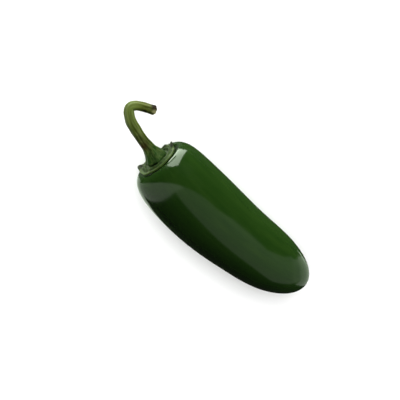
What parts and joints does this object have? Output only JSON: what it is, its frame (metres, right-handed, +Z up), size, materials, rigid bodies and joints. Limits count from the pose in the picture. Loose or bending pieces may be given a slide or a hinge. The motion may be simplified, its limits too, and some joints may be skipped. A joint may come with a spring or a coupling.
{
  "type": "chilli pepper",
  "caption": "Fresh green jalapeño chilli pepper with its calyx and hooked stem, as picked, lying on its side.",
  "frame": {"origin": "on the surface the pepper lies on, under the middle of its bounding box, inside the flat spot of the pod", "axes": "+X along the pod from the stem end to the blossom end, +Z up from the surface, +Y to the side that the hook of the stem turns to"},
  "size_m": [0.1064, 0.0324, 0.031],
  "materials": {
    "waxy_skin": "glossy waxy dark green pepper skin",
    "calyx_green": "satin leathery green, paler along the rim, with brown specks",
    "green_stem": "satin fibrous olive green, ribbed lengthwise, browned near the base and at the cut"
  },
  "bodies": {
    "root": {"pod": "waxy_skin", "calyx": "calyx_green", "stem": "green_stem"}
  },
  "joints": []
}
